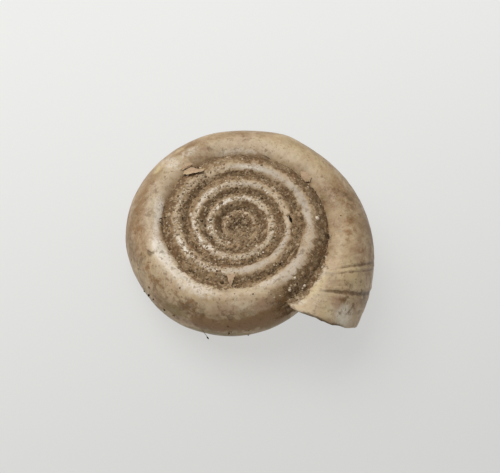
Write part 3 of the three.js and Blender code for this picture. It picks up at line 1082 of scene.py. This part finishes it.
class Finish:
    """The nodes of a material or of the world, with short names for those it uses."""

    def __init__(self, owner, shader="Principled BSDF"):
        owner.use_nodes = True
        self.owner = owner
        self.tree = owner.node_tree
        self.shader = self.tree.nodes[shader]

    def node(self, kind, inputs=None, **settings):
        made = self.tree.nodes.new(kind)
        for key, value in settings.items():
            setattr(made, key, value)
        for key, value in (inputs or {}).items():
            self.feed(made.inputs[key], value)
        return made

    def feed(self, socket, value):
        if isinstance(value, bpy.types.NodeSocket):
            self.tree.links.new(value, socket)
        else:
            socket.default_value = value

    def attribute(self, name):
        return self.node("ShaderNodeAttribute", attribute_name=name).outputs["Fac"]

    def place(self):
        return self.node("ShaderNodeTexCoord").outputs["Object"]

    def noise(self, vector, scale, detail=3.0, roughness=0.55):
        inputs = {"Vector": vector, "Scale": scale, "Detail": detail, "Roughness": roughness}
        return self.node("ShaderNodeTexNoise", inputs).outputs["Fac"]

    def cracks(self, vector, scale):
        """Distance to the nearest of many crooked cracks."""
        wobble = self.node("ShaderNodeTexNoise", {"Vector": vector, "Scale": 2.0 * scale, "Detail": 3.0})
        shift = {0: wobble.outputs["Color"], 1: (0.8 / scale,) * 3, 2: vector}
        crooked = self.node("ShaderNodeVectorMath", shift, operation="MULTIPLY_ADD").outputs[0]
        inputs = {"Vector": crooked, "Scale": scale}
        return self.node("ShaderNodeTexVoronoi", inputs, feature="DISTANCE_TO_EDGE").outputs["Distance"]

    def strip(self, along, length, across, width):
        """Places on a flat strip, from two values and their scales."""
        inputs = {0: self.times(along, length), 1: self.times(across, width)}
        return self.node("ShaderNodeCombineXYZ", inputs).outputs[0]

    def ramp(self, value, low, high, start=0.0, stop=1.0):
        inputs = {"Value": value, "From Min": low, "From Max": high, "To Min": start, "To Max": stop}
        return self.node("ShaderNodeMapRange", inputs, interpolation_type="SMOOTHSTEP").outputs["Result"]

    def swing(self, noise, reach):
        """A noise turned into a value from -reach to reach."""
        return self.ramp(noise, 0.3, 0.7, -reach, reach)

    def arithmetic(self, operation, first, second):
        return self.node("ShaderNodeMath", {0: first, 1: second}, operation=operation).outputs[0]

    def sum(self, first, second):
        return self.arithmetic("ADD", first, second)

    def times(self, first, second):
        return self.arithmetic("MULTIPLY", first, second)

    def mix(self, share, first, second):
        inputs = {0: share, 6: self.colour(first), 7: self.colour(second)}
        return self.node("ShaderNodeMix", inputs, data_type="RGBA").outputs[2]

    def stains(self, colour, *layers):
        """Stains over a colour, each a value, where it starts and is full, its most and its shade."""
        for value, low, high, most, shade in layers:
            colour = self.mix(self.ramp(value, low, high, 0.0, most), colour, shade)
        return colour

    def colour(self, value):
        return value if isinstance(value, bpy.types.NodeSocket) else (*value, 1.0)

    def bump(self, height, strength, distance):
        inputs = {"Height": height, "Strength": strength, "Distance": distance}
        return self.node("ShaderNodeBump", inputs).outputs["Normal"]

    def surface(self, **values):
        """Sets the shader's inputs, whose names are given with underscores."""
        for key, value in values.items():
            self.feed(self.shader.inputs[key.replace("_", " ")], value)
        return self.owner


LIGHT_TAN = (0.475, 0.352, 0.212)
BROWN_TAN = (0.240, 0.146, 0.069)
PINK_TAN = (0.42, 0.290, 0.190)
GREY_TAN = (0.36, 0.305, 0.205)
CREAM = (0.58, 0.468, 0.325)
CHALK = (0.76, 0.69, 0.59)
GREY = (0.47, 0.400, 0.318)
BROWN = (0.118, 0.064, 0.027)
DARK = (0.045, 0.027, 0.014)
BLACK = (0.008, 0.005, 0.003)
OLIVE = (0.21, 0.150, 0.056)
PINK = (0.37, 0.232, 0.150)
RUST = (0.228, 0.118, 0.043)
YELLOW = (0.56, 0.450, 0.240)
SILT = (0.270, 0.176, 0.092)
DEEP_SILT = (0.084, 0.043, 0.017)
RUSTY_SILT = (0.215, 0.112, 0.048)
GREY_SILT = (0.188, 0.138, 0.079)
PALE_SILT = (0.430, 0.318, 0.200)


# Shades of the marks on the shell and the most that they cover, in the order they are laid.
MARK_SHADES = (
    ("cream", CREAM, 0.9), ("grey", GREY, 0.9), ("chalk", CHALK, 0.9), ("brown", BROWN, 0.7),
    ("olive", OLIVE, 0.85), ("pink", PINK, 0.8), ("yellow", YELLOW, 0.8), ("line", BROWN, 0.85),
    ("dark_stain_and_shadow", DARK, 0.8),
)


def silt_colour(finish, place, damp):
    """Brown silt in clumps, darker where it is damp and where painted shade falls in the groove, with
    paler sand in it.
    """
    clumps = finish.noise(place, 3400.0, 4.0, 0.6)
    clouds = finish.noise(place, 1100.0, 3.0)
    grit = finish.noise(place, 12000.0, 4.0, 0.7)
    depth = finish.sum(damp, finish.swing(clouds, 0.45))
    return finish.stains(
        SILT,
        (depth, 0.25, 1.0, 0.85, DEEP_SILT),
        (clouds, 0.55, 0.70, 0.60, RUSTY_SILT),
        (clouds, 0.46, 0.34, 0.45, GREY_SILT),
        (clumps, 0.50, 0.66, 0.70, PALE_SILT),
        (clumps, 0.46, 0.32, 0.60, DEEP_SILT),
        (grit, 0.50, 0.72, 0.60, PALE_SILT),
    )


def clean_colour(finish, place, clouds, fine, grit):
    """The shell's own colours, worn and stained, without the dirt on it."""
    growth = finish.attribute("growth")
    side = finish.attribute("side")
    streaks = finish.noise(finish.strip(growth, 220.0, side, 0.8), 1.0, 2.0)
    blotches = finish.noise(finish.strip(growth, 48.0, side, 2.6), 1.0, 4.0, 0.6)
    mottles = finish.noise(place, 2600.0, 5.0, 0.62)
    tints = finish.noise(place, 1500.0, 3.0, 0.6)
    near_mouth = finish.ramp(finish.attribute("mouth"), 0.0, 1.0, 0.15, 0.55)
    lines = finish.times(finish.ramp(streaks, 0.35, 0.65, -0.5, 0.5), near_mouth)
    flank = finish.sum(finish.attribute("flank"), finish.swing(clouds, 0.3))
    soft = finish.swing(fine, 0.22)
    rusty = finish.sum(finish.attribute("rust"), finish.swing(clouds, 0.25))
    spots = finish.attribute("spots")
    stained = finish.sum(finish.noise(place, 1700.0, 5.0, 0.65), finish.times(spots, 0.12))
    spotted = finish.sum(finish.noise(place, 4400.0, 4.0, 0.65), finish.times(spots, 0.13))
    broken = finish.sum(mottles, finish.times(spots, 0.22))
    near_crack = finish.ramp(finish.cracks(place, 2600.0), 0.10, 0.02)
    colour = finish.stains(
        LIGHT_TAN,
        (finish.sum(flank, lines), 0.0, 1.0, 1.0, BROWN_TAN),
        (blotches, 0.50, 0.66, 0.50, BROWN_TAN),
        (blotches, 0.48, 0.32, 0.40, CREAM),
        (mottles, 0.52, 0.68, 0.30, BROWN_TAN),
        *((finish.sum(finish.attribute(name), soft), 0.12, 0.95, most, shade)
          for name, shade, most in MARK_SHADES),
        (tints, 0.52, 0.66, 0.35, PINK_TAN),
        (tints, 0.47, 0.34, 0.30, GREY_TAN),
        (fine, 0.52, 0.70, 0.28, BROWN_TAN),
        (grit, 0.55, 0.72, 0.30, CREAM),
        (finish.sum(rusty, finish.swing(mottles, 0.3)), 0.3, 0.9, 0.8, RUST),
        (stained, 0.58, 0.68, 0.55, BROWN),
        (spotted, 0.61, 0.70, 0.55, BROWN),
    )
    cracked = finish.times(near_crack, finish.ramp(broken, 0.62, 0.72, 0.0, 0.85))
    return finish.mix(cracked, colour, RUST)


def shell_finish():
    finish = Finish(bpy.data.materials.new("shell_finish"))
    place = finish.place()
    clouds = finish.noise(place, 800.0, 3.0)
    fine = finish.noise(place, 3500.0, 4.0, 0.6)
    grit = finish.noise(place, 13000.0, 3.0, 0.65)
    groove = finish.attribute("groove")
    patches = finish.sum(finish.swing(fine, 0.4), finish.swing(grit, 0.3))
    dirt = finish.sum(finish.sum(groove, finish.attribute("film")), patches)
    dirt = finish.ramp(dirt, 0.1, 0.9, 0.0, 0.95)
    clean = clean_colour(finish, place, clouds, fine, grit)
    # Dirt near the grooves takes the silt's colour, darkened by the groove value towards the suture:
    # real silt, with painted shade deepening it in the crease.
    colour = finish.mix(dirt, clean, silt_colour(finish, place, groove))
    relief = finish.sum(fine, finish.times(grit, finish.ramp(dirt, 0.0, 1.0, 0.1, 1.2)))
    return finish.surface(
        # The hole's dent is painted black: painted shade.
        Base_Color=finish.stains(colour, (finish.attribute("hole_shade"), 0.2, 0.6, 1.0, BLACK)),
        Roughness=finish.ramp(dirt, 0.0, 0.8, 0.42, 0.95),
        Normal=finish.bump(relief, 0.35, 0.03 * MM),
        Specular_IOR_Level=0.20,
    )


def silt_finish():
    finish = Finish(bpy.data.materials.new("silt_finish"))
    place = finish.place()
    return finish.surface(
        Base_Color=silt_colour(finish, place, finish.attribute("damp")),
        Roughness=0.95,
        Normal=finish.bump(finish.noise(place, 11000.0, 4.0, 0.7), 0.7, 0.04 * MM),
        Specular_IOR_Level=0.15,
    )


# Colours of grains, from the darkest tone to the palest in even steps.
GRAIN_COLOURS = (
    (0.040, 0.024, 0.012), (0.120, 0.074, 0.037), (0.225, 0.150, 0.083), (0.380, 0.285, 0.183),
    (0.680, 0.590, 0.470),
)


def grain_finish():
    finish = Finish(bpy.data.materials.new("grain_finish"))
    ramp = finish.node("ShaderNodeValToRGB", {"Fac": finish.attribute("tone")})
    stops = ramp.color_ramp.elements
    while len(stops) < len(GRAIN_COLOURS):
        stops.new(0.5)
    for i, colour in enumerate(GRAIN_COLOURS):
        stops[i].position = i / (len(GRAIN_COLOURS) - 1)
        stops[i].color = (*colour, 1.0)
    return finish.surface(
        Base_Color=ramp.outputs["Color"],
        Roughness=0.85,
        Normal=finish.bump(finish.noise(finish.place(), 20000.0, 2.0), 0.4, 0.02 * MM),
        Specular_IOR_Level=0.2,
    )


def flake_finish():
    finish = Finish(bpy.data.materials.new("flake_finish"))
    place = finish.place()
    clouds = finish.noise(place, 1800.0, 3.0)
    grit = finish.noise(place, 9000.0, 3.0, 0.65)
    return finish.surface(
        Base_Color=finish.stains(
            LIGHT_TAN,
            (clouds, 0.35, 0.65, 1.0, PINK_TAN),
            (grit, 0.52, 0.70, 0.55, BROWN_TAN),
        ),
        Roughness=0.7,
        Normal=finish.bump(grit, 0.4, 0.02 * MM),
        Specular_IOR_Level=0.2,
    )


# The floor glows like a light table, though it is no lamp: painted light that keeps the shell's shadow
# faint. It glows a little less towards the viewer and to the right.
FLOOR_HALF = 1.0
FLOOR_FADE = 0.03
FLOOR_SLANT = -0.35
FLOOR_DIM = 0.46
FLOOR_BRIGHT = 0.68
FLOOR_GLOW = (1.0, 1.0, 0.985, 1.0)
FLOOR_COLOUR = (0.16, 0.16, 0.155, 1.0)


def floor_finish():
    finish = Finish(bpy.data.materials.new("floor_finish"))
    across = finish.node("ShaderNodeSeparateXYZ", {0: finish.place()})
    slope = finish.sum(across.outputs[1], finish.times(across.outputs[0], FLOOR_SLANT))
    return finish.surface(
        Base_Color=FLOOR_COLOUR,
        Roughness=0.9,
        Specular_IOR_Level=0.2,
        Emission_Color=FLOOR_GLOW,
        Emission_Strength=finish.ramp(slope, -FLOOR_FADE, FLOOR_FADE, FLOOR_DIM, FLOOR_BRIGHT),
    )


def build_floor(material):
    mesh = bpy.data.meshes.new("floor")
    corners = [(x * FLOOR_HALF, y * FLOOR_HALF, 0) for x, y in ((-1, -1), (1, -1), (1, 1), (-1, 1))]
    mesh.from_pydata(corners, [], [(0, 1, 2, 3)])
    mesh.materials.append(material)
    floor = add_object("floor", mesh)


def build_camera():
    """The photograph's view, turned with the coil into its lying pose."""
    right = Vector((1, 0, 0))
    up = Vector((0, math.cos(VIEW_TILT), math.sin(VIEW_TILT)))
    back = Vector((0, -math.sin(VIEW_TILT), math.cos(VIEW_TILT)))
    turn = Matrix(TURN.tolist())
    axes = [turn @ axis for axis in (right, up, back)]
    across = (IMAGE_WIDTH / 2 - APEX_PIXEL[0]) / PIXELS_PER_MM
    down = (IMAGE_HEIGHT / 2 - APEX_PIXEL[1]) / PIXELS_PER_MM
    distance = VIEW_DISTANCE_PIXELS / PIXELS_PER_MM
    place = Vector(APEX_PLACE) + axes[0] * across - axes[1] * down + axes[2] * distance
    data = bpy.data.cameras.new("camera")
    data.sensor_width = SENSOR_WIDTH
    data.lens = SENSOR_WIDTH * VIEW_DISTANCE_PIXELS / IMAGE_WIDTH
    data.clip_start = MM
    camera = add_object("camera", data)
    camera.matrix_world = Matrix.Translation(place * MM) @ Matrix(axes).transposed().to_4x4()
    bpy.context.scene.camera = camera


# Brightness of the studio's walls in front of the shell and behind it, and their tint.
STUDIO_FRONT = 0.22
STUDIO_BACK = 0.66
STUDIO_TINT = (1.0, 0.99, 0.97, 1.0)
# The soft lamp: side in metres, power in watts, and place.
LAMP_SIDE = 0.16
LAMP_POWER = 0.34
LAMP_PLACE = Vector((-0.09, 0.05, 0.17))


def build_studio():
    """Walls of light, brighter behind the shell than in front of it."""
    finish = Finish(bpy.data.worlds.new("studio"), "Background")
    around = finish.node("ShaderNodeTexCoord").outputs["Generated"]
    depth = finish.node("ShaderNodeSeparateXYZ", {0: around}).outputs[1]
    slope = {"Value": depth, "From Min": -1.0, "To Min": STUDIO_FRONT, "To Max": STUDIO_BACK}
    strength = finish.node("ShaderNodeMapRange", slope).outputs["Result"]
    bpy.context.scene.world = finish.surface(Color=STUDIO_TINT, Strength=strength)
    bpy.context.scene.view_settings.view_transform = "Standard"


def build_lamp():
    data = bpy.data.lights.new("window", "AREA")
    data.shape = "RECTANGLE"
    data.size = LAMP_SIDE
    data.size_y = LAMP_SIDE
    data.energy = LAMP_POWER
    lamp = add_object("window", data)
    lamp.location = LAMP_PLACE
    lamp.rotation_euler = (-LAMP_PLACE).to_track_quat("-Z", "Y").to_euler()


build_camera()
build_studio()
build_lamp()
build_floor(floor_finish())
shell, shell_grid, shell_values = build_shell(shell_finish())
silt, upper_silt_grid, lower_silt_grid = build_silt(silt_finish())
bits_finish = grain_finish()
grains = build_grains(bits_finish, upper_silt_grid, lower_silt_grid, shell_grid, shell_values)
crust = build_crust(bits_finish, upper_silt_grid, shell_grid, shell_values)
flakes = build_flakes(flake_finish())
fibres = build_fibres(bits_finish)
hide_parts("shell")
for piece in (shell, silt, grains, crust, flakes, fibres):
    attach(piece, "root")
